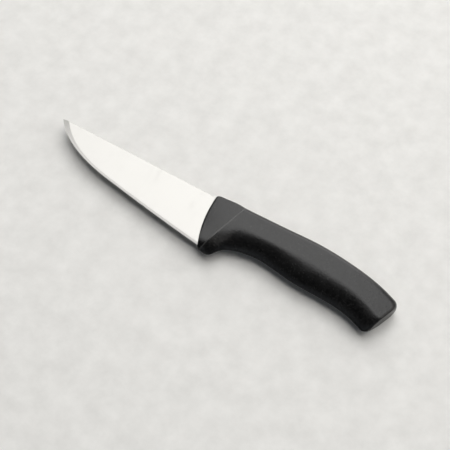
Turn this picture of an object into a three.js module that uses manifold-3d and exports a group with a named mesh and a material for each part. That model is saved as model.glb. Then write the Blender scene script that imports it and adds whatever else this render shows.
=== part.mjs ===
// Short meat knife: a flat ground steel blade whose tang is held in a moulded plastic handle.
// Lengths are in millimetres. The knife lies on its side: X runs from the tip to the butt, Y from the
// edge to the spine and Z up. Distances along the knife are measured from the front of the handle at
// the spine, rises and drops from the straight spine line of the blade.
import * as THREE from 'three';
import { mergeVertices } from 'three/addons/utils/BufferGeometryUtils.js';
import Module from 'manifold-3d';

const wasm = await Module();
wasm.setup();

// Blade
const bladeLength = 125; // from the front of the handle to the tip
const bladeDepth = 36.8; // from the spine line to the edge at the heel
const bladeThickness = 2; // at the spine, beside the handle
const tipThickness = 1.1;
const edgeThickness = 0.36; // left above the edge bevel, at the heel
const bevelAngle = 8; // degrees on each side
const tipDrop = 0.7; // the tip lies this far below the spine line
const spineFall = 12; // length of spine that curves down to the tip
const bellyStart = 72; // where the edge begins to curve up to the tip
const bellyDrop = 25.2; // depth of the edge there
const bellyReach = 38; // pull of the curve on its way to the tip
const edgeBow = 0.45; // bulge of the long run of the edge

// Root and tang inside the handle
const clearance = 0.3;
const rootInset = 2; // shoulder that butts on the front of the handle
const rootDepth = 6;
const tangStart = 3; // behind the front of the handle
const tangLength = 95;
const tangDrop = 5;
const tangHeight = 16;
const tangHoles = 3;
const tangHoleDiameter = 7;
const tangHoleFirst = 30;
const tangHolePitch = 24;

// Handle in side view: nine ribs from the front to the butt, each from the spine to the belly
const handleLength = 142;
const crestAt = 23;
const noseRun = 5.5; // from the crest back to the lowest point of the guard
const guardRun = 6.5; // from there to the back of the guard
const grooveRun = 17; // from there to the finger groove
const rearRun = 34; // from the butt forward to the end of the straight grip
const hookRun = 16; // from the butt forward to the middle of the hook
const frontRise = 2;
const palmRise = 4.3;
const rearRise = 1.6;
const hookFall = 2.3;
const buttFall = 8.1;
const frontLean = 9.3; // the front edge runs back this far down to the guard
const crestLean = 11.5; // the other ribs run forward
const noseLean = 10.7;
const guardLean = 9.9;
const grooveLean = 7.5;
const palmLean = 4.7;
const rearLean = 2.9;
const hookLean = 8.4;
const buttLean = 10.4;
const frontDrop = 38.6;
const crestDrop = 39.4;
const noseDrop = 39.6;
const guardDrop = 30.9;
const grooveDrop = 25.5;
const palmDrop = 28.4;
const rearDrop = 29.3;
const hookDrop = 31.4;
const buttDrop = 36.6;
const frontBulge = 2.3; // the front edge bows towards the tip
const bulgeRun = 10;
const cheekBump = 0.6; // the spine stands up a little along the cheek
const bumpAt = 15;
const bumpRun = 6;

// Handle in section
const gripThickness = 10.4;
const frontThickness = 6; // at the thin front edge of the cheeks
const spineRound = 4.6;
const gripLand = 15.7; // from the spine to the end of the flat side
const buttLand = 16.5;
const buttRun = 27; // length over which the flat side widens to the butt
const noseRound = 5; // belly round of the guard
const flankPower = 1.35; // power of the belly curve along the grip, where 2 is an ellipse
const cheekPower = 2.2; // the same on the cheek
const scoopRun = 22; // length of the scoop behind the crest
const tiltRun = 28; // length over which the side levels out behind the crest
const frontFillet = 0.8;
const buttSpineRound = 5;
const buttBellyRound = 5;
const buttFillet = 1.4;

// Place of the resting side's centre, which is the origin
const restAt = 90;
const restDrop = 5;

// Facets
const curveSegments = 24;
const arcSteps = 5;
const landSteps = 6;
const bellySteps = 8;
const ribRows = 6;
const filletRows = 4;

const gripHalf = gripThickness / 2;
const frontHalf = frontThickness / 2;
const noseAt = crestAt + noseRun;
const guardAt = noseAt + guardRun;
const grooveAt = guardAt + grooveRun;
const rearAt = handleLength - rearRun;
const hookAt = handleLength - hookRun;
const palmAt = (grooveAt + rearAt) / 2;

// Solids and cuts
function toSolid(geometry) {
  const bare = new THREE.BufferGeometry();
  bare.setAttribute('position', geometry.getAttribute('position'));
  bare.setIndex(geometry.getIndex());
  const merged = mergeVertices(bare);
  const vertProperties = new Float32Array(merged.getAttribute('position').array);
  const triVerts = new Uint32Array(merged.getIndex().array);
  return new wasm.Manifold(new wasm.Mesh({ numProp: 3, vertProperties, triVerts }));
}

function toGeometry(solid) {
  const mesh = solid.getMesh();
  const geometry = new THREE.BufferGeometry();
  geometry.setAttribute('position', new THREE.BufferAttribute(new Float32Array(mesh.vertProperties), 3));
  geometry.setIndex(new THREE.BufferAttribute(new Uint32Array(mesh.triVerts), 1));
  geometry.computeVertexNormals();
  return geometry;
}

// Flat plate of a side view shape, centred on the middle plane
function plate(shape, thickness) {
  const geometry = new THREE.ExtrudeGeometry(shape, { depth: thickness, bevelEnabled: false, curveSegments });
  geometry.translate(0, 0, -thickness / 2);
  return toSolid(geometry);
}

// Where the front of the handle lies at a drop below the spine line: a leaning line that bows forward
function frontAt(drop) {
  const share = (frontRise + drop) / (frontRise + frontDrop);
  return frontLean * share - frontBulge * 4 * share * (1 - share);
}

// Half thickness of the ground blade, a plane set by the spine, the tip and the edge
function bladeHalf(x, y) {
  const along = ((bladeThickness - tipThickness) * x) / bladeLength;
  const across = ((bladeThickness - edgeThickness) * y) / bladeDepth;
  return (bladeThickness + along + across) / 2;
}

// Edge from the heel to the tip: a long bowed run, then the belly
function edgeCurve() {
  const heel = new THREE.Vector2(frontAt(bladeDepth) - clearance, -bladeDepth);
  const belly = new THREE.Vector2(-bellyStart, -bellyDrop);
  const tip = new THREE.Vector2(-bladeLength, -tipDrop);
  const run = belly.clone().sub(heel).normalize();
  const outward = new THREE.Vector2(-run.y, run.x);
  const bow = heel.clone().add(belly).multiplyScalar(0.5).addScaledVector(outward, 2 * edgeBow);
  const pull = belly.clone().addScaledVector(belly.clone().sub(bow).normalize(), bellyReach);
  const edge = new THREE.CurvePath();
  edge.add(new THREE.QuadraticBezierCurve(heel, bow, belly));
  edge.add(new THREE.QuadraticBezierCurve(belly, pull, tip));
  return edge;
}

// Side view of the blade with the root that enters the handle
function bladeShape() {
  const rootEnd = bladeDepth - rootInset;
  const shape = new THREE.Shape();
  shape.moveTo(-bladeLength, -tipDrop);
  shape.quadraticCurveTo(-bladeLength + spineFall / 2, 0, -bladeLength + spineFall, 0);
  shape.lineTo(frontAt(0) - clearance, 0);
  shape.lineTo(frontAt(rootInset) - clearance, -rootInset);
  shape.lineTo(frontAt(rootInset) + rootDepth, -rootInset);
  shape.lineTo(frontAt(rootEnd) + rootDepth, -rootEnd);
  shape.lineTo(frontAt(rootEnd) - clearance, -rootEnd);
  for (const curve of edgeCurve().curves) {
    shape.lineTo(curve.v0.x, curve.v0.y);
    shape.quadraticCurveTo(curve.v1.x, curve.v1.y, curve.v2.x, curve.v2.y);
  }
  return shape;
}

// Pocket of the handle for the root, open through the front
function rootPocketShape() {
  const top = rootInset - clearance;
  const bottom = bladeDepth - rootInset + clearance;
  const shape = new THREE.Shape();
  shape.moveTo(frontAt(top) - rootDepth, -top);
  shape.lineTo(frontAt(top) + rootDepth + clearance, -top);
  shape.lineTo(frontAt(bottom) + rootDepth + clearance, -bottom);
  shape.lineTo(frontAt(bottom) - rootDepth, -bottom);
  return shape;
}

// Tang with a round end and a row of holes, grown for the pocket that takes it
function tangShape(grow) {
  const radius = tangHeight / 2 + grow;
  const middle = -tangDrop - tangHeight / 2;
  const centre = tangLength - tangHeight / 2;
  const shape = new THREE.Shape();
  shape.moveTo(frontAt(radius - middle) + tangStart - grow, middle - radius);
  shape.lineTo(centre, middle - radius);
  shape.absarc(centre, middle, radius, -Math.PI / 2, Math.PI / 2, false);
  shape.lineTo(frontAt(-radius - middle) + tangStart - grow, middle + radius);
  for (let hole = 0; hole < tangHoles; hole++) {
    const path = new THREE.Path();
    const at = tangHoleFirst + hole * tangHolePitch;
    path.absarc(at, middle, tangHoleDiameter / 2 - grow, 0, 2 * Math.PI, true);
    shape.holes.push(path);
  }
  return shape;
}

// Takes off what stands outside the two ground faces, which the pocket sets further apart
function grind(solid, grow) {
  let ground = solid;
  for (const side of [1, -1]) {
    const geometry = new THREE.BoxGeometry(3 * bladeLength, 3 * bladeDepth, 1);
    const position = geometry.getAttribute('position');
    for (let index = 0; index < position.count; index++) {
      const face = bladeHalf(position.getX(index), position.getY(index)) + grow;
      const outside = side * position.getZ(index) > 0;
      position.setZ(index, side * (outside ? 2 * bladeThickness : face));
    }
    ground = ground.subtract(toSolid(geometry));
  }
  return ground;
}

// Space above the edge bevel: a wedge that opens from the edge towards the spine
function bevelSpace() {
  const rise = 2 * bladeDepth;
  const spread = rise * Math.tan(THREE.MathUtils.degToRad(bevelAngle));
  const curves = edgeCurve().curves;
  const points = curves.flatMap((curve) => curve.getPoints(curveSegments));
  points.splice(curveSegments, 1);
  const heelEnd = points[0].clone().add(new THREE.Vector2(bladeLength, points[0].y - points[1].y));
  const tipEnd = points.at(-1).clone().add(new THREE.Vector2(-tipDrop, tipDrop));
  const line = [heelEnd, ...points, tipEnd];
  const vertices = line.flatMap(({ x, y }) => [x, y, 0, x, y + rise, spread, x, y + rise, -spread]);
  const faces = [0, 2, 1];
  for (let step = 0; step < line.length - 1; step++) {
    const near = 3 * step;
    const far = near + 3;
    for (const [from, to] of [[0, 1], [1, 2], [2, 0]]) {
      faces.push(near + from, far + to, far + from, near + from, near + to, far + to);
    }
  }
  const last = 3 * (line.length - 1);
  faces.push(last, last + 1, last + 2);
  const geometry = new THREE.BufferGeometry();
  geometry.setAttribute('position', new THREE.Float32BufferAttribute(vertices, 3));
  geometry.setIndex(faces);
  return toSolid(geometry);
}

function bladeSolid() {
  const ground = grind(plate(bladeShape(), bladeThickness), 0).intersect(bevelSpace());
  return ground.add(plate(tangShape(0), bladeThickness));
}

// Ribs of the handle, and the curves that run along their ends
const spineRise = (at) => frontRise + ((palmRise - frontRise) * at) / palmAt;
const ribs = [
  [0, frontRise, -frontLean, frontDrop],
  [crestAt, spineRise(crestAt), crestLean, crestDrop],
  [noseAt, spineRise(noseAt), noseLean, noseDrop],
  [guardAt, spineRise(guardAt), guardLean, guardDrop],
  [grooveAt, spineRise(grooveAt), grooveLean, grooveDrop],
  [palmAt, palmRise, palmLean, palmDrop],
  [rearAt, rearRise, rearLean, rearDrop],
  [hookAt, -hookFall, hookLean, hookDrop],
  [handleLength, -buttFall, buttLean, buttDrop],
];
const lastRib = ribs.length - 1;
const spineLine = new THREE.CatmullRomCurve3(ribs.map(([at, rise]) => new THREE.Vector3(at, rise, 0)));
const bellyLine = new THREE.CatmullRomCurve3(
  ribs.map(([at, , lean, drop]) => new THREE.Vector3(at - lean, -drop, 0)),
);

// Ends and middle of the section at a place along the ribs
function station(place) {
  const spine = spineLine.getPoint(place / lastRib);
  const belly = bellyLine.getPoint(place / lastRib);
  spine.y += cheekBump * Math.exp(-(((spine.x - bumpAt) / bumpRun) ** 2));
  const middle = spine.clone().lerp(belly, 0.5);
  return { spine, belly, middle };
}

const front = station(0);
const crest = station(1);
const butt = station(lastRib);
const frontNormal = new THREE.Vector3(frontRise + frontDrop, frontLean, 0).normalize();
const crestCorner = crest.spine.clone().lerp(crest.belly, spineRound / crest.spine.distanceTo(crest.belly));
const cheekSlope = (gripHalf - frontHalf) / crestCorner.clone().sub(front.spine).dot(frontNormal);

// Half thickness on the flat cheek, which rises from the front edge to the crest
function cheekHalf(point) {
  return frontHalf + cheekSlope * point.clone().sub(front.spine).dot(frontNormal);
}

// How much the cheek drops for each length down a section
const cheekTilt = (down) => -cheekSlope * down.dot(frontNormal);
const crestTilt = cheekTilt(crest.belly.clone().sub(crest.spine).normalize());
const crestLand = crest.spine.distanceTo(crest.belly) - noseRound;

// How far a round of this radius draws the surface in, at a distance from the end
function roundInset(distance, radius) {
  if (distance >= radius) return 0;
  return radius - Math.sqrt(radius ** 2 - (radius - distance) ** 2);
}

const fade = (distance, run) => Math.max(0, 1 - distance / run);

// Upper half of one section: the round of the spine, the flat side, the round of the belly
function section(place) {
  const { spine, belly, middle } = station(place);
  const toFront = middle.distanceTo(front.middle);
  const toButt = middle.distanceTo(butt.middle);
  const pastCrest = middle.distanceTo(crest.middle);
  const onCheek = place <= 1;
  const edgeInset = roundInset(toFront, frontFillet);
  const spineInset = edgeInset + roundInset(toButt, buttSpineRound);
  const bellyInset = edgeInset + roundInset(toButt, buttBellyRound);
  const sideInset = edgeInset + roundInset(toButt, buttFillet);
  const down = belly.clone().sub(spine).normalize();
  const top = spine.clone().addScaledVector(down, spineInset);
  const height = spine.distanceTo(belly) - spineInset - bellyInset;
  const half = gripHalf - sideInset;
  const corner = Math.min(spineRound, half);

  const widen = THREE.MathUtils.smoothstep(fade(toButt, buttRun), 0, 1);
  const scoop = fade(pastCrest, scoopRun) ** 3;
  const gripEnd = gripLand + (crestLand - gripLand) * scoop + (buttLand - gripLand) * widen - spineInset;
  const land = Math.min(onCheek ? height : gripEnd, height - noseRound);
  const tilt = crestTilt * fade(pastCrest, tiltRun) ** 2;
  const power = 2 / THREE.MathUtils.lerp(flankPower, cheekPower, onCheek ? 1 : scoop);

  // Point on the middle plane at a depth below the spine
  const pointAt = (depth) => {
    const share = depth / height;
    const point = top.clone().addScaledVector(down, depth);
    point.x -= frontBulge * 4 * share * (1 - share) * fade(toFront, bulgeRun) ** 2;
    return point;
  };
  const sideAt = (point, depth) => (onCheek ? cheekHalf(point) - sideInset : half - tilt * (depth - corner));

  // The round ends where it meets the cheek, or after a quarter turn behind the crest
  const slope = cheekTilt(down);
  const meeting = ((cheekHalf(top) - sideInset - half) / corner + 1 - slope) / Math.hypot(1, slope);
  const arcEnd = onCheek ? Math.atan(slope) + Math.asin(Math.min(1, meeting)) : Math.PI / 2;
  const landStart = corner * (1 - Math.cos(arcEnd));

  const points = [];
  for (let step = 0; step < arcSteps; step++) {
    const angle = arcEnd * (step / arcSteps);
    const point = pointAt(corner * (1 - Math.cos(angle)));
    point.z = half - corner + corner * Math.sin(angle);
    points.push(point);
  }
  for (let step = 0; step <= landSteps; step++) {
    const depth = THREE.MathUtils.lerp(landStart, land, step / landSteps);
    const point = pointAt(depth);
    point.z = sideAt(point, depth);
    points.push(point);
  }
  for (let step = 1; step <= bellySteps; step++) {
    const angle = (Math.PI / 2) * (step / bellySteps);
    const depth = land + (height - land) * Math.sin(angle) ** power;
    const point = pointAt(depth);
    point.z = step < bellySteps ? sideAt(point, depth) * Math.cos(angle) ** power : 0;
    points.push(point);
  }
  return points;
}

// Places of the sections: even between the ribs, close together in the fillets at both ends
function sectionPlaces() {
  const frontSpan = front.middle.distanceTo(crest.middle);
  const buttSpan = butt.middle.distanceTo(station(lastRib - 1).middle);
  const buttDepth = Math.max(buttSpineRound, buttBellyRound, buttFillet);
  const places = [];
  for (let row = 0; row < filletRows; row++) {
    const turn = (Math.PI / 2) * (row / filletRows);
    places.push((frontFillet * (1 - Math.cos(turn))) / frontSpan);
    places.push(lastRib - (buttDepth * (1 - Math.cos(turn))) / buttSpan);
  }
  const first = frontFillet / frontSpan;
  const last = lastRib - buttDepth / buttSpan;
  for (let row = 0; row <= lastRib * ribRows; row++) {
    const place = row / ribRows;
    if (place === 1 || (place > first && place < last)) places.push(place);
  }
  return [...places, first, last].sort((a, b) => a - b);
}

// Skin through all the sections, mirrored below the middle plane, with a wall across each end
function handleBody() {
  const rows = sectionPlaces().map(section);
  const half = rows[0].length;
  const ring = 2 * half - 1;
  const vertices = [];
  for (const row of rows) {
    for (const { x, y, z } of row) vertices.push(x, y, z);
    for (const { x, y, z } of row.slice(0, -1).reverse()) vertices.push(x, y, -z);
  }
  const faces = [];
  for (let row = 0; row < rows.length - 1; row++) {
    for (let step = 0; step < ring; step++) {
      const here = row * ring + step;
      const next = row * ring + ((step + 1) % ring);
      faces.push(here, next, next + ring, here, next + ring, here + ring);
    }
  }
  const end = (rows.length - 1) * ring;
  for (let step = 0; step < half - 1; step++) {
    const below = ring - 1 - step;
    faces.push(step, below, below - 1, end + step, end + below - 1, end + below);
    if (step < half - 2) faces.push(step, below - 1, step + 1, end + step, end + step + 1, end + below - 1);
  }
  const geometry = new THREE.BufferGeometry();
  geometry.setAttribute('position', new THREE.Float32BufferAttribute(vertices, 3));
  geometry.setIndex(faces);
  return toSolid(geometry);
}

// The pocket leaves a plastic post standing in each hole of the tang
function handleSolid() {
  const width = bladeThickness + 2 * clearance;
  const root = grind(plate(rootPocketShape(), width), clearance);
  return handleBody().subtract(root.add(plate(tangShape(clearance), width)));
}

const steel = new THREE.MeshStandardMaterial({ color: 0xd9d8d4, roughness: 0.3, metalness: 1 });
const blackPlastic = new THREE.MeshStandardMaterial({ color: 0x1b1b1b, roughness: 0.5, metalness: 0 });

const blade = new THREE.Mesh(toGeometry(bladeSolid()), steel);
blade.name = 'blade';
const handle = new THREE.Mesh(toGeometry(handleSolid()), blackPlastic);
handle.name = 'handle';

const knife = new THREE.Group();
knife.name = 'meat_knife';
knife.position.set(-restAt, restDrop, gripHalf);
knife.add(blade, handle);

export default knife;
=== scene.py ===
import bpy
import bmesh
import math
import numpy as np
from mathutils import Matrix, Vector


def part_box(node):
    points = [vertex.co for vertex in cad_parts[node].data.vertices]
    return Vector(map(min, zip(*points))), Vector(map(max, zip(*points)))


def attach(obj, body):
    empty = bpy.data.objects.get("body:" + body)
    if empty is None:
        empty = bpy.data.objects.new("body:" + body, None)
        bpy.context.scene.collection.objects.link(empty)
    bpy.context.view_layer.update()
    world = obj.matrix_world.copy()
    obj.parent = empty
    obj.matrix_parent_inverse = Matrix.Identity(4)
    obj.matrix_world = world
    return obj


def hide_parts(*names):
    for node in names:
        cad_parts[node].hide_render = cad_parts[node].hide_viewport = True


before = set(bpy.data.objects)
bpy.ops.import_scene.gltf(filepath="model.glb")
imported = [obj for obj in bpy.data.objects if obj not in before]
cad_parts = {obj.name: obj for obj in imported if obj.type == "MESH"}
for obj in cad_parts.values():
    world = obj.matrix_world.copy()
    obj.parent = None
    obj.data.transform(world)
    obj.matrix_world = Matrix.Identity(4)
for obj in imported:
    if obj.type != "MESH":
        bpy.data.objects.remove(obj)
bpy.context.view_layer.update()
print("frame:", ", ".join(sorted(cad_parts)))

# The knife is worked out along its blade: along runs from the front of the handle to the butt,
# rise from the spine line of the blade, side from the middle plane of the blade. All in metres.
bladeLow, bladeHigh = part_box("blade")
handleLow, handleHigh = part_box("handle")
bladeLength = 0.125
originX = bladeLow.x + bladeLength
spineY = bladeHigh.y
midZ = (handleLow.z + handleHigh.z) / 2
gripHalf = (handleHigh.z - handleLow.z) / 2


# Camera: at the photo's angle, high above the table
camera = dict(azimuth=31.445, elevation=60, distance=0.733, lens=88, sensor=36,
              target=(-0.07556, -0.00697, 0))


def addCamera(c):
    turn, lift = math.radians(c["azimuth"]), math.radians(c["elevation"])
    back = Vector((math.sin(turn) * math.cos(lift), -math.cos(turn) * math.cos(lift), math.sin(lift)))
    data = bpy.data.cameras.new("camera")
    data.lens, data.sensor_width = c["lens"], c["sensor"]
    eye = bpy.data.objects.new("camera", data)
    eye.location = Vector(c["target"]) + back * c["distance"]
    eye.rotation_euler = back.to_track_quat("Z", "Y").to_euler()
    bpy.context.scene.collection.objects.link(eye)
    bpy.context.scene.camera = eye


addCamera(camera)
bpy.context.scene.view_settings.view_transform = "Standard"
print("camera set")


# Grid helpers
def place(along, rise, side):  # knife lengths to the shared frame
    return np.stack(np.broadcast_arrays(along + originX, rise + spineY, side + midZ), -1)


def gridQuads(rows, columns):  # corner numbers of every cell of a grid
    number = np.arange(rows * columns).reshape(rows, columns)
    return np.stack([number[:-1, :-1], number[:-1, 1:], number[1:, 1:], number[1:, :-1]], -1).reshape(-1, 4)


def ringGrid(upper):  # upper half of each section, carried round below the middle plane and closed
    lower = upper[:, ::-1] * (1, 1, -1) + (0, 0, 2 * midZ)
    return np.concatenate([upper, lower[:, 1:]], 1)


def endWall(upper, steps):  # wall between the upper half of a section and its mirror image
    lower = upper * (1, 1, -1) + (0, 0, 2 * midZ)
    share = np.linspace(0, 1, steps)[:, None, None]
    return upper * (1 - share) + lower * share


def weldPiece(name, patches, tolerance=1e-7):  # joins grids on their common points into one closed mesh
    points = np.concatenate([p.reshape(-1, 3) for p in patches])
    starts = np.cumsum([0] + [p.shape[0] * p.shape[1] for p in patches[:-1]])
    quads = np.concatenate([gridQuads(*p.shape[:2]) + s for p, s in zip(patches, starts)])
    steps = np.round(points / tolerance).astype(np.int64)
    _, first, same = np.unique(steps, axis=0, return_index=True, return_inverse=True)
    quads = same.reshape(-1)[quads]
    kept = quads != np.roll(quads, 1, 1)  # a corner that fell on its neighbour is dropped
    whole = kept.all(1)
    corner = quads[kept.sum(1) == 3][kept[kept.sum(1) == 3]].reshape(-1, 3)
    mesh = bpy.data.meshes.new(name)
    mesh.from_pydata(points[first].tolist(), [], quads[whole].tolist() + corner.tolist())
    shell = bmesh.new()
    shell.from_mesh(mesh)
    bmesh.ops.recalc_face_normals(shell, faces=shell.faces)
    shell.to_mesh(mesh)
    shell.free()
    piece = bpy.data.objects.new(name, mesh)
    bpy.context.scene.collection.objects.link(piece)
    return piece


def discs(name, places, radius, low, high, sides=48):  # short round bars through the middle plane
    turn = np.linspace(0, 2 * np.pi, sides + 1)
    patches = []
    for along, rise in places:
        reach = np.array([0, radius, radius, 0])[:, None]
        level = np.array([low, low, high, high])[:, None]
        patches.append(place(along + reach * np.cos(turn), rise + reach * np.sin(turn), level + 0 * turn))
    return weldPiece(name, patches)


def combine(piece, tool, operation):  # cuts the tool out of the piece, or joins it on, and drops the tool
    change = piece.modifiers.new("combine", "BOOLEAN")
    change.object, change.operation, change.solver = tool, operation, "EXACT"
    bpy.context.view_layer.update()
    solid = bpy.data.meshes.new_from_object(piece.evaluated_get(bpy.context.evaluated_depsgraph_get()))
    piece.modifiers.clear()
    piece.data = solid
    bpy.data.objects.remove(tool)


def smoothSides(piece, angle):
    piece.data.shade_smooth()
    piece.data.set_sharp_from_angle(angle=math.radians(angle))


def softMin(a, b, blend):  # the smaller of two heights, with the crease between them rounded off
    gap = np.maximum(blend - np.abs(a - b), 0) / blend
    return np.minimum(a, b) - gap * gap * blend / 4


def smoothStep(x):
    x = np.clip(x, 0, 1)
    return x * x * (3 - 2 * x)


def mix(a, b, share):
    return a + (b - a) * share


# Front of the handle in side view: a leaning line that bows towards the tip
front = dict(rise=0.002, drop=0.0386, lean=0.0093, bulge=0.0023)


def frontAt(rise):
    share = (front["rise"] - rise) / (front["rise"] + front["drop"])
    return front["lean"] * share - front["bulge"] * 4 * share * (1 - share)


# Tang and root, shared by the steel and by the pocket that is moulded round them
tang = dict(rootInset=0.002, rootDepth=0.006, drop=0.005, height=0.016, length=0.095, half=0.00096,
            holes=3, holeRadius=0.0035, holeFirst=0.030, holePitch=0.024, gap=0.00003, shoulderGap=0.00004,
            relief=0.00002, lead=0.0005)


def tangHoles(t):
    return [(t["holeFirst"] + n * t["holePitch"], -t["drop"] - t["height"] / 2) for n in range(t["holes"])]


def tangRows(down, thick, t, depth, grow):
    # Root and tang as one profile carried into the handle: down goes from the upper to the lower edge,
    # thick from the middle plane to the side and back, both along one upper half section.
    top, bottom = -t["rootInset"] + grow, -depth + t["rootInset"] - grow
    rise = mix(top, bottom, down)
    rootSide = (bladeHalf(frontAt(rise), rise) - t["relief"] + grow) * thick
    rows = [place(frontAt(rise) + at, rise, rootSide) for at in (t["lead"], t["rootDepth"] + grow)]
    radius = t["height"] / 2 + grow
    middle = -t["drop"] - t["height"] / 2
    narrow = mix(middle + radius, middle - radius, down)
    side = (t["half"] + grow) * thick
    centre = t["length"] - t["height"] / 2
    rows.append(place(frontAt(narrow) + t["rootDepth"] + grow, narrow, side))
    for share in np.linspace(0, 1, 12):
        bow = np.sqrt(np.maximum(radius ** 2 - (narrow - middle) ** 2, 0)) * share
        rows.append(place(centre + bow, narrow, side))
    return rows


# Blade
blade = dict(depth=0.0368, thickness=0.002, tipThickness=0.0011, edgeThickness=0.00036, bevelAngle=8,
             tipDrop=0.0007, spineFall=0.012, bellyStart=0.072, bellyDrop=0.0252, bellyReach=0.038,
             edgeBow=0.00045, spineCorner=0.00018, stations=220, flatSteps=64, bevelSteps=9, cornerSteps=5,
             crowding=1.35, bevelLimit=0.7, cornerLimit=0.1, followFrom=0.8, sharpAngle=24)


def bladeHalf(along, rise):  # half thickness: a plane set by the spine, the tip and the edge
    b = blade
    taper = (b["thickness"] - b["tipThickness"]) * along / bladeLength
    hollow = (b["thickness"] - b["edgeThickness"]) * rise / b["depth"]
    return (b["thickness"] + taper + hollow) / 2


def bend(a, b, c, share):  # quadratic curve through a and c, drawn towards b
    share = share[:, None]
    return a * (1 - share) ** 2 + 2 * b * share * (1 - share) + c * share ** 2


def bladeEdge(b, shoulder):  # points from the tip to the heel: the belly, then a long bowed run
    heel = np.array([frontAt(-b["depth"]) - shoulder, -b["depth"]])
    belly = np.array([-b["bellyStart"], -b["bellyDrop"]])
    tip = np.array([-bladeLength, -b["tipDrop"]])
    run = (belly - heel) / np.linalg.norm(belly - heel)
    bow = (heel + belly) / 2 + np.array([-run[1], run[0]]) * 2 * b["edgeBow"]
    pull = belly + (belly - bow) / np.linalg.norm(belly - bow) * b["bellyReach"]
    share = np.linspace(0, 1, 400)
    return np.concatenate([bend(tip, pull, belly, share), bend(belly, bow, heel, share)[1:]])


def makeBlade(b, t):
    # Each station is a line from the spine to the edge. Across it the side lies on the ground plane
    # down to the bevel, where it falls to the edge: side = min(plane, tan(bevel) * distance to edge).
    edge = bladeEdge(b, t["shoulderGap"])
    share = np.linspace(0, 1, b["stations"]) ** b["crowding"]  # closer at the tip
    edgeAlong = mix(edge[0, 0], edge[-1, 0], share)
    edgeRise = np.interp(edgeAlong, edge[:, 0], edge[:, 1])
    spineAlong = mix(-bladeLength, frontAt(0) - t["shoulderGap"], share)
    fall = np.clip((spineAlong + bladeLength) / b["spineFall"], 0, 1)
    spineRise = -b["tipDrop"] * (1 - np.sqrt(fall)) ** 2
    across = np.hypot(spineAlong - edgeAlong, spineRise - edgeRise)
    slope = np.gradient(edgeRise, edgeAlong)
    lead = np.stack([spineAlong - edgeAlong, spineRise - edgeRise]) / np.maximum(across, 1e-9)
    square = np.abs(lead[0] * slope - lead[1]) / np.hypot(1, slope)
    fallOff = math.tan(math.radians(b["bevelAngle"])) * square
    gain = bladeHalf(edgeAlong + lead[0], edgeRise + lead[1]) - bladeHalf(edgeAlong, edgeRise)
    bevel = np.minimum(bladeHalf(edgeAlong, edgeRise) / (fallOff - gain), b["bevelLimit"] * across)
    corner = np.minimum(b["spineCorner"], b["cornerLimit"] * across)

    turn = np.linspace(0, np.pi / 2, b["cornerSteps"])
    flat = np.linspace(0, 1, b["flatSteps"] + 1)[1:]
    flat = np.concatenate([[0.002], flat[:-1], [0.9985, 1]])  # close pairs keep the creases crisp
    wedge = np.concatenate([[0.02], np.linspace(0, 1, b["bevelSteps"])[1:]])
    toEdge = np.concatenate([
        np.broadcast_to(across[:, None], (b["stations"], 2)),
        across[:, None] - corner[:, None] * (1 - np.cos(turn)),
        mix((across - corner)[:, None], bevel[:, None], flat),
        bevel[:, None] * (1 - wedge)], 1)
    along = edgeAlong[:, None] + lead[0][:, None] * toEdge
    rise = edgeRise[:, None] + lead[1][:, None] * toEdge
    plane = bladeHalf(along, rise)
    side = np.minimum(plane, fallOff[:, None] * toEdge)
    rounding = np.zeros_like(side)
    rounding[:, 2:2 + len(turn)] = corner[:, None] * (1 - np.sin(turn))
    rounding[:, :2] = corner[:, None]
    side = side - rounding
    side[:, 0] = 0
    side[:, 1] = side[:, 2] * 0.5
    side[0] = 0
    bow = frontAt(rise) - mix(frontAt(0), frontAt(-b["depth"]), -rise / b["depth"])
    follow = smoothStep((share - b["followFrom"]) / (1 - b["followFrom"]))
    along = along + bow * follow[:, None]  # the last stations follow the front of the handle
    upper = place(along, rise, side)

    columns = upper.shape[1]
    count = len(turn) + 2
    down = np.concatenate([np.zeros(count), flat, np.ones(len(wedge))])
    thick = np.concatenate([[0, 0.5], np.ones(columns - 2 - len(wedge)), 1 - wedge])
    rows = tangRows(down, thick, t, b["depth"], 0)
    shoulder = rows[0] - (t["shoulderGap"] + t["lead"], 0, 0)
    upper = np.concatenate([upper, shoulder[None], np.stack(rows)])
    piece = weldPiece("blade_steel", [ringGrid(upper), endWall(upper[-1], 3)])
    combine(piece, discs("holes", tangHoles(t), t["holeRadius"], -2 * t["half"], 2 * t["half"]), "DIFFERENCE")
    smoothSides(piece, b["sharpAngle"])
    return piece


# Handle
handle = dict(length=0.142, crestAt=0.023, noseRun=0.0055, guardRun=0.0065, grooveRun=0.017,
              rearRun=0.034, hookRun=0.016, palmRise=0.0043, rearRise=0.0016, hookFall=0.0023, buttFall=0.0081,
              bump=0.0006, bumpAt=0.015, bumpRun=0.006,
              leans=(0.0115, 0.0107, 0.0099, 0.0075, 0.0047, 0.0029, 0.0084, 0.0104),
              drops=(0.0394, 0.0396, 0.0309, 0.0255, 0.0284, 0.0293, 0.0314, 0.0366),
              frontHalf=0.003, bulgeRun=0.010, spineRound=0.0046, crestLand=0.0155, crestRun=0.022,
              gripLand=0.0157, buttLand=0.0165, buttRun=0.027, noseRound=0.005, flankPower=1.35,
              cheekPower=2.2, cheekTurn=0.009, cheekTwist=1.2,
              scoopDepth=0.0009, scoopStart=0.012, scoopSpread=0.022, scoopTurn=0.010, scoopRun=0.028,
              frontFillet=0.0008, frontSpineRound=0.0024, buttSpineRound=0.005, buttBellyRound=0.005,
              buttFillet=0.0014, crestSoft=0.0004, cheekBlend=0.00012,
              wallSteps=6, arcSteps=26, landSteps=34, bellySteps=44, rows=190, frontRows=12, buttRows=26,
              crestSpan=0.12, crestRows=17, clear=0.01, sharpAngle=30)


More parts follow.
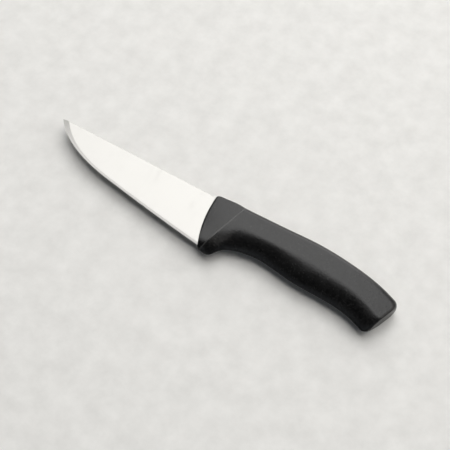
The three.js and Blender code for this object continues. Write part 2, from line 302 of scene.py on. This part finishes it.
def ribLine(points, where):  # centripetal Catmull-Rom curve through the points, one rib per unit
    padded = np.concatenate([[2 * points[0] - points[1]], points, [2 * points[-1] - points[-2]]])
    span = np.clip(np.floor(where).astype(int), 0, len(points) - 2)
    w = (where - span)[:, None]
    p = [padded[span + n] for n in range(4)]
    d = [np.sqrt(np.linalg.norm(p[n + 1] - p[n], axis=1))[:, None] for n in range(3)]
    start = ((p[1] - p[0]) / d[0] - (p[2] - p[0]) / (d[0] + d[1]) + (p[2] - p[1]) / d[1]) * d[1]
    end = ((p[2] - p[1]) / d[1] - (p[3] - p[1]) / (d[1] + d[2]) + (p[3] - p[2]) / d[2]) * d[1]
    return (p[1] + start * w + (3 * (p[2] - p[1]) - 2 * start - end) * w ** 2
            + (2 * (p[1] - p[2]) + start + end) * w ** 3)


def handleRibs(h):  # ends of the nine ribs: along the spine and along the belly
    nose = h["crestAt"] + h["noseRun"]
    guard = nose + h["guardRun"]
    groove = guard + h["grooveRun"]
    rear, hook = h["length"] - h["rearRun"], h["length"] - h["hookRun"]
    palm = (groove + rear) / 2
    at = np.array([0, h["crestAt"], nose, guard, groove, palm, rear, hook, h["length"]])
    rise = mix(front["rise"], h["palmRise"], at / palm)
    rise[-3:] = h["rearRise"], -h["hookFall"], -h["buttFall"]
    lean = np.array([-front["lean"], *h["leans"]])
    drop = np.array([front["drop"], *h["drops"]])
    return np.stack([at, rise], 1), np.stack([at - lean, -drop], 1)


def roundInset(distance, radius):  # how far a round of this radius draws the surface in near an end
    return radius - np.sqrt(radius ** 2 - np.maximum(radius - distance, 0) ** 2)


def fade(distance, run):
    return np.maximum(1 - distance / run, 0)


def handleSection(h, where):
    # Upper half of each section, from the middle of the spine to the middle of the belly: a wall, the
    # round of the spine, the flat side and the flank. The flank is a superellipse:
    # depth = land + (height - land) * sin(turn)^power, side = softMin(flat, cheek) * cos(turn)^power.
    # The cheek is a twisted plane that falls from the crest towards the blade. Behind the crest a scoop
    # is taken off the side, deeper towards the belly. The spine has a low bump over the cheek.
    spineEnds, bellyEnds = handleRibs(h)
    last = len(spineEnds) - 1
    at = np.concatenate([where, [0, 1, last]])
    spine, belly = ribLine(spineEnds, at), ribLine(bellyEnds, at)
    spine[:, 1] += h["bump"] * np.exp(-((spine[:, 0] - h["bumpAt"]) / h["bumpRun"]) ** 2)
    middle = (spine + belly) / 2
    length = np.linalg.norm(belly - spine, axis=1)
    direct = (belly - spine) / length[:, None]
    reach = [np.linalg.norm(middle[:-3] - middle[n], axis=1)[:, None] for n in (-3, -2, -1)]
    toFront, pastCrest, toButt = reach
    pastCrest = np.copysign(pastCrest, (where - 1)[:, None])
    pastCrest = (pastCrest + np.hypot(pastCrest, h["crestSoft"])) / 2

    crestTop, crestDown = spine[-2], direct[-2]
    crestBack = np.array([-crestDown[1], crestDown[0]])
    cheekSlope = (gripHalf - h["frontHalf"]) / ((crestTop - spine[-3]) @ crestBack)
    crestLength = length[-2]

    edgeInset = roundInset(toFront, h["frontFillet"])
    spineInset = roundInset(toFront, h["frontSpineRound"]) + roundInset(toButt, h["buttSpineRound"])
    bellyInset = edgeInset + roundInset(toButt, h["buttBellyRound"])
    sideInset = edgeInset + roundInset(toButt, h["buttFillet"])
    spine, direct, length = spine[:-3], direct[:-3], length[:-3, None]
    height = length - spineInset - bellyInset
    half = gripHalf - sideInset
    corner = np.minimum(h["spineRound"], half)
    nearCrest = fade(pastCrest, h["crestRun"]) ** 2
    power = 2 / mix(h["flankPower"], h["cheekPower"], fade(pastCrest, h["cheekTurn"]) ** 2)
    nearButt = smoothStep(fade(toButt, h["buttRun"]))
    land = (h["gripLand"] + (h["crestLand"] - h["gripLand"]) * nearCrest
            + (h["buttLand"] - h["gripLand"]) * nearButt - spineInset)
    land = np.minimum(land, height - h["noseRound"])

    wall = np.linspace(0, 1, h["wallSteps"], endpoint=False)
    arc = np.linspace(0, np.pi / 2, h["arcSteps"], endpoint=False)
    flat = np.linspace(0, 1, h["landSteps"], endpoint=False)
    ellipse = np.linspace(0, np.pi / 2, h["bellySteps"])
    depth = np.concatenate([
        0 * half + 0 * wall, corner * (1 - np.cos(arc)),
        mix(corner, land, flat), land + (height - land) * np.sin(ellipse) ** power], 1)
    scoop = smoothStep((depth - h["scoopStart"]) / h["scoopSpread"])
    scoop = scoop * (1 - np.exp(-pastCrest / h["scoopTurn"])) * (1 - smoothStep(pastCrest / h["scoopRun"]))
    level = half - h["scoopDepth"] * scoop
    split = len(wall) + len(arc)
    level[:, :split] = np.concatenate([(half - corner) * wall, half - corner + corner * np.sin(arc)], 1)
    share = depth / height
    along = spine[:, :1] + direct[:, :1] * (spineInset + depth)
    along = along - front["bulge"] * 4 * share * (1 - share) * fade(toFront, h["bulgeRun"]) ** 2
    rise = spine[:, 1:] + direct[:, 1:] * (spineInset + depth)
    fromTop = np.stack([along, rise], -1) - crestTop
    steeper = 1 + h["cheekTwist"] * (fromTop @ crestDown) / crestLength
    cheek = half + cheekSlope * steeper * (fromTop @ crestBack)
    side = softMin(level, cheek, h["cheekBlend"])
    side[:, -len(ellipse):] *= np.maximum(np.cos(ellipse), 0) ** power
    side[:, 0] = side[:, -1] = 0
    return along, rise, side


def sectionPlaces(h):  # close together in the fillets at both ends and beside the crest
    spineEnds, bellyEnds = handleRibs(h)
    middle = (spineEnds + bellyEnds) / 2
    gaps = np.linalg.norm(np.diff(middle, axis=0), axis=1)
    turn = 1 - np.cos(np.linspace(0, np.pi / 2, h["frontRows"]))
    head = turn * max(h["frontFillet"], h["frontSpineRound"]) / gaps[0]
    turn = 1 - np.cos(np.linspace(0, np.pi / 2, h["buttRows"]))
    tail = len(gaps) - turn * h["buttBellyRound"] / gaps[-1]
    travel = np.concatenate([[0], np.cumsum(gaps)])
    body = np.interp(np.linspace(0, travel[-1], h["rows"]), travel, np.arange(len(travel)))
    clear = h["clear"]
    body = body[(body > head[-1] + clear) & (body < tail[-1] - clear)]
    body = body[np.abs(body - 1) > h["crestSpan"] + clear]
    beside = h["crestSpan"] * np.linspace(-1, 1, h["crestRows"]) ** 3
    return np.sort(np.concatenate([head, body, 1 + beside, tail]))


def makeHandle(h, t, depth):
    where = sectionPlaces(h)
    along, rise, side = handleSection(h, where)
    skin = place(along, rise, side)
    # The front wall runs in from the first section to the mouth of the pocket
    columns = skin.shape[1]
    down = (rise[0] - rise[0, 0]) / (rise[0, -1] - rise[0, 0])
    thick = np.concatenate([np.linspace(0, 1, h["wallSteps"]), np.ones(columns - h["wallSteps"])])
    ends = np.linspace(0, np.pi / 2, h["bellySteps"])
    thick[-h["bellySteps"]:] = np.minimum(1, 3 * np.cos(ends))
    thick[0] = thick[-1] = 0
    pocket = np.stack(tangRows(down, thick, t, depth, t["gap"]))
    mouth = pocket[0] - (t["lead"], 0, 0)
    share = np.linspace(0, 1, 7)[1:, None, None]
    wall = mix(skin[0], mouth, share)
    upper = np.concatenate([skin[::-1], wall, pocket])
    piece = weldPiece("handle_plastic", [ringGrid(upper), endWall(upper[0], 13), endWall(upper[-1], 3)])
    posts = discs("posts", tangHoles(t), t["holeRadius"] - t["gap"], -2 * t["half"], 2 * t["half"])
    combine(piece, posts, "UNION")
    smoothSides(piece, h["sharpAngle"])
    return piece


bladePiece = makeBlade(blade, tang)
handlePiece = makeHandle(handle, tang, blade["depth"])
print("pieces:", len(bladePiece.data.polygons), "blade faces,",
      len(handlePiece.data.polygons), "handle faces")


# Shader helpers
def addNode(tree, kind, **values):
    node = tree.nodes.new(kind)
    for name, value in values.items():
        setattr(node, name, value)
    return node


def feed(tree, node, **inputs):  # a number or colour is set, a socket is linked
    for name, value in inputs.items():
        socket = node.inputs[int(name[1:])] if name[0] == "i" and name[1:].isdigit() else node.inputs[name]
        if isinstance(value, bpy.types.NodeSocket):
            tree.links.new(value, socket)
        else:
            socket.default_value = value
    return node


def startMaterial(name):
    material = bpy.data.materials.new(name)
    material.use_nodes = True
    return material, material.node_tree, material.node_tree.nodes["Principled BSDF"]


def startGroup(name, inputs, outputs):
    group = bpy.data.node_groups.new(name, "ShaderNodeTree")
    for label, kind in inputs:
        group.interface.new_socket(name=label, in_out="INPUT", socket_type=kind)
    for label, kind in outputs:
        group.interface.new_socket(name=label, in_out="OUTPUT", socket_type=kind)
    return group, addNode(group, "NodeGroupInput"), addNode(group, "NodeGroupOutput")


# Speckle: fine grain over a slow mottle, around zero, used by the plastic, the steel and the floor
def speckleGroup():
    group, given, result = startGroup(
        "speckle",
        [("Vector", "NodeSocketVector"), ("Fine", "NodeSocketFloat"), ("Slow", "NodeSocketFloat")],
        [("Grain", "NodeSocketFloat"), ("Mottle", "NodeSocketFloat")])
    for label, size, detail in (("Grain", "Fine", 2), ("Mottle", "Slow", 4)):
        noise = addNode(group, "ShaderNodeTexNoise")
        feed(group, noise, Vector=given.outputs["Vector"], Scale=given.outputs[size], Detail=detail)
        noise.inputs["Roughness"].default_value = 0.6
        level = addNode(group, "ShaderNodeMath", operation="SUBTRACT")
        feed(group, level, i0=noise.outputs["Fac"], i1=0.5)
        group.links.new(level.outputs[0], result.inputs[label])
    return group


speckle = speckleGroup()


def placeGroup(tree, group, **inputs):
    node = addNode(tree, "ShaderNodeGroup", node_tree=group)
    return feed(tree, node, **inputs)


def mapValue(tree, value, low, high, newLow, newHigh):
    node = addNode(tree, "ShaderNodeMapRange")
    feed(tree, node, Value=value)
    for name, number in (("From Min", low), ("From Max", high), ("To Min", newLow), ("To Max", newHigh)):
        node.inputs[name].default_value = number
    return node.outputs["Result"]


def mixColor(tree, share, a, b):
    return feed(tree, addNode(tree, "ShaderNodeMix", data_type="RGBA"), i0=share, i6=a, i7=b).outputs[2]


def calc(tree, operation, a, b=0.0):
    return feed(tree, addNode(tree, "ShaderNodeMath", operation=operation), i0=a, i1=b).outputs[0]


# Scuffs: sparse hairlines where a stretched noise crosses its middle, thinned out by a slower one
hairline = dict(turns=(0.5, 1.9), scales=(160, 210), stretch=0.06, width=0.012,
                patchScale=70, patch=(0.5, 0.65))


def scuffGroup(p):
    group, given, result = startGroup(
        "scuffs", [("Vector", "NodeSocketVector")], [("Mask", "NodeSocketFloat")])
    lines = None
    for turn, scale in zip(p["turns"], p["scales"]):
        laid = feed(group, addNode(group, "ShaderNodeMapping"), Vector=given.outputs["Vector"],
                    Rotation=(0, 0, turn), Scale=(1, p["stretch"], 1))
        noise = addNode(group, "ShaderNodeTexNoise")
        feed(group, noise, Vector=laid.outputs["Vector"], Scale=scale, Detail=1)
        off = calc(group, "ABSOLUTE", calc(group, "SUBTRACT", noise.outputs["Fac"], 0.5))
        line = mapValue(group, off, 0, p["width"], 1, 0)
        lines = calc(group, "MAXIMUM", lines, line) if lines else line
    patch = addNode(group, "ShaderNodeTexNoise")
    feed(group, patch, Vector=given.outputs["Vector"], Scale=p["patchScale"], Detail=2)
    thin = mapValue(group, patch.outputs["Fac"], *p["patch"], 0, 1)
    group.links.new(calc(group, "MULTIPLY", lines, thin), result.inputs["Mask"])
    return group


scuffs = scuffGroup(hairline)


def paintedCrestHighlight(tree, where, width):  # painted highlight: one on the straight crest between cheek and grip, none beside it
    top, bottom = (ends[1] for ends in handleRibs(handle))
    run = (bottom - top) / np.linalg.norm(bottom - top)
    back = (-run[1], run[0], 0)
    offset = float(np.dot(back[:2], top + (originX, spineY)))
    across = feed(tree, addNode(tree, "ShaderNodeVectorMath", operation="DOT_PRODUCT"), i0=where, i1=back)
    off = calc(tree, "ABSOLUTE", calc(tree, "SUBTRACT", across.outputs["Value"], offset))
    return mapValue(tree, off, 0, width, 1, 0)


# Black moulded plastic: fine spark eroded grain, slightly uneven sheen, a painted highlight along the crest
# and faint scuffs
plastic = dict(dark=(0.0022, 0.0022, 0.0023, 1), pale=(0.004, 0.004, 0.0042, 1), ior=1.5,
               grainScale=900, mottleScale=160, grainDepth=0.00006, roughness=0.2, spread=0.05,
               speck=(0.02, 0.02, 0.02, 1), highlightAndScuffs=(0.05, 0.05, 0.048, 1), crestWidth=0.0007, scuff=0.12)


def plasticMaterial(p):
    material, tree, shader = startMaterial("black plastic")
    where = addNode(tree, "ShaderNodeTexCoord").outputs["Object"]
    grain = placeGroup(tree, speckle, Vector=where, Fine=p["grainScale"], Slow=p["mottleScale"])
    shader.inputs["IOR"].default_value = p["ior"]
    mottle = mapValue(tree, grain.outputs["Mottle"], -0.2, 0.2, 0, 1)
    color = mixColor(tree, mottle, p["dark"], p["pale"])
    specks = mapValue(tree, grain.outputs["Grain"], -0.05, 0.3, 0, 1)
    color = mixColor(tree, specks, color, p["speck"])
    crest = paintedCrestHighlight(tree, where, p["crestWidth"])
    highlightAndScuffs = calc(tree, "MULTIPLY", crest, mapValue(tree, mottle, 0, 1, 0.6, 1))  # painted highlight on the crest, made uneven by the mottle
    marks = placeGroup(tree, scuffs, Vector=where).outputs["Mask"]
    highlightAndScuffs = calc(tree, "MAXIMUM", highlightAndScuffs, calc(tree, "MULTIPLY", marks, p["scuff"]))
    # the paler colour goes on the painted crest highlight and on the real scuffs
    feed(tree, shader, **{"Base Color": mixColor(tree, highlightAndScuffs, color, p["highlightAndScuffs"])})
    low, high = p["roughness"] - p["spread"] / 2, p["roughness"] + p["spread"] / 2
    rough = calc(tree, "ADD", mapValue(tree, mottle, 0, 1, low, high),
                 calc(tree, "MULTIPLY", marks, p["spread"]))
    bump = addNode(tree, "ShaderNodeBump")
    feed(tree, bump, Distance=p["grainDepth"], Height=grain.outputs["Grain"])
    feed(tree, shader, Roughness=rough, Normal=bump.outputs["Normal"])
    return material


# Satin steel: ground across the blade in fine lines, with the same faint scuffs
steel = dict(dark=(0.465, 0.459, 0.442, 1), pale=(0.477, 0.471, 0.454, 1), lineScale=2200,
             lineStretch=0.02, roughness=0.3, spread=0.05, lineDepth=0.000004)


def steelMaterial(s):
    material, tree, shader = startMaterial("satin steel")
    where = addNode(tree, "ShaderNodeTexCoord").outputs["Object"]
    laid = addNode(tree, "ShaderNodeMapping")
    feed(tree, laid, Vector=where, Scale=(1, s["lineStretch"], s["lineStretch"]))
    grain = placeGroup(tree, speckle, Vector=laid.outputs["Vector"], Fine=s["lineScale"])
    shader.inputs["Metallic"].default_value = 1
    feed(tree, shader, **{"Base Color": mixColor(
        tree, mapValue(tree, grain.outputs["Grain"], -0.25, 0.25, 0, 1), s["dark"], s["pale"])})
    low, high = s["roughness"] - s["spread"] / 2, s["roughness"] + s["spread"] / 2
    marks = placeGroup(tree, scuffs, Vector=where).outputs["Mask"]
    rough = calc(tree, "ADD", mapValue(tree, grain.outputs["Grain"], -0.3, 0.3, low, high),
                 calc(tree, "MULTIPLY", marks, s["spread"]))
    bump = addNode(tree, "ShaderNodeBump")
    feed(tree, bump, Distance=s["lineDepth"], Height=grain.outputs["Grain"])
    feed(tree, shader, Roughness=rough, Normal=bump.outputs["Normal"])
    return material


# Pale table
table = dict(size=3, dark=(0.74, 0.735, 0.715, 1), pale=(0.83, 0.825, 0.805, 1), roughness=0.7,
             mottleScale=70)


def addTable(f):
    edge = np.linspace(-f["size"], f["size"], 3)
    x, y = np.meshgrid(edge, edge, indexing="ij")
    mesh = bpy.data.meshes.new("table")
    corners = np.stack([x, y, 0 * x], -1).reshape(-1, 3)
    mesh.from_pydata(corners.tolist(), [], gridQuads(3, 3)[:, ::-1].tolist())
    top = bpy.data.objects.new("table", mesh)
    bpy.context.scene.collection.objects.link(top)
    material, tree, shader = startMaterial("pale table")
    where = addNode(tree, "ShaderNodeTexCoord").outputs["Object"]
    stone = placeGroup(tree, speckle, Vector=where, Slow=f["mottleScale"])
    shade = mapValue(tree, stone.outputs["Mottle"], -0.2, 0.2, 0, 1)
    color = mixColor(tree, shade, f["dark"], f["pale"])
    feed(tree, shader, Roughness=f["roughness"], **{"Base Color": color})
    top.data.materials.append(material)


addTable(table)
bladePiece.data.materials.append(steelMaterial(steel))
handlePiece.data.materials.append(plasticMaterial(plastic))
print("materials done")


# Soft studio light. Lamps are level rectangles over the table, given by the slopes of their sides seen
# from the knife: along it (x over height) and across it (y over height).
softbox = dict(height=3, x=(-0.85, -0.03), y=(0.12, 5), radiance=2.36, tint=(1, 0.995, 0.985), shine=True)
fill = dict(height=3, x=(-2, 3), y=(1.2, 6), radiance=3.8, tint=(1, 0.995, 0.985), shine=False)
panel = dict(height=3, x=(-0.8, 0.6), y=(-1.3, -0.45), radiance=0.17, tint=(0.94, 0.98, 1.03), shine=True)
right = dict(height=3, x=(0.05, 2.5), y=(0, 2), radiance=1.25, tint=(1, 0.97, 0.93), shine=True)
room = dict(dim=0.012, wall=0.65, wallTint=(1, 0.985, 0.95), front=0.12, frontTint=(0.9, 0.97, 1.05),
            wallTop=(0.7, 0.2), wallSide=(0, 0.4), frontTop=(0.98, 0.7), frontSide=(0.1, 0.6))


def addLamp(name, p):  # a lamp that doesn't shine lights the table and leaves no highlight
    (start, end), (near, far) = p["x"], p["y"]
    data = bpy.data.lights.new(name, "AREA")
    data.shape = "RECTANGLE"
    data.size, data.size_y = (end - start) * p["height"], (far - near) * p["height"]
    data.energy = p["radiance"] * math.pi * data.size * data.size_y
    data.color = p["tint"]
    lamp = bpy.data.objects.new(name, data)
    lamp.location = Vector(((start + end) / 2, (near + far) / 2, 1)) * p["height"]
    lamp.visible_camera = False
    lamp.visible_glossy = p["shine"]
    bpy.context.scene.collection.objects.link(lamp)


def ramp(tree, value, start, end):  # smooth step of a part of the direction
    node = addNode(tree, "ShaderNodeMapRange", interpolation_type="SMOOTHSTEP")
    return feed(tree, node, Value=value, i1=start, i2=end, i3=0, i4=1).outputs[0]


def addRoom(r):  # dim room with a pale wall behind the knife and a cool glow low in front
    world = bpy.data.worlds.new("room")
    bpy.context.scene.world = world
    world.use_nodes = True
    tree = world.node_tree
    turn = math.radians(camera["azimuth"])
    where = addNode(tree, "ShaderNodeTexCoord").outputs["Generated"]
    axes = feed(tree, addNode(tree, "ShaderNodeSeparateXYZ"), Vector=where)
    toFront = feed(tree, addNode(tree, "ShaderNodeVectorMath", operation="DOT_PRODUCT"), i0=where,
                   i1=(math.sin(turn), -math.cos(turn), 0)).outputs["Value"]
    glow = None
    up, toBack = axes.outputs["Z"], axes.outputs["Y"]
    behind = (r["wall"], r["wallTint"], ramp(tree, up, *r["wallTop"]), ramp(tree, toBack, *r["wallSide"]))
    before = (r["front"], r["frontTint"], ramp(tree, up, *r["frontTop"]), ramp(tree, toFront, *r["frontSide"]))
    for level, tint, low, side in (behind, before):
        share = calc(tree, "MULTIPLY", low, side)
        lit = addNode(tree, "ShaderNodeMix", data_type="RGBA")
        tree.links.new(share, lit.inputs[0])
        lit.inputs[6].default_value = (r["dim"], r["dim"], r["dim"], 1)
        lit.inputs[7].default_value = (*(level * c for c in tint), 1)
        if glow:
            tree.links.new(glow, lit.inputs[6])
        glow = lit.outputs[2]
    tree.links.new(glow, tree.nodes["Background"].inputs["Color"])


addLamp("softbox", softbox)
addLamp("fill", fill)
addLamp("panel", panel)
addLamp("right", right)
addRoom(room)
print("light set")

for piece, node, slot in ((bladePiece, "blade", "blade_steel"), (handlePiece, "handle", "handle_plastic")):
    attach(piece, "root")
    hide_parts(node)
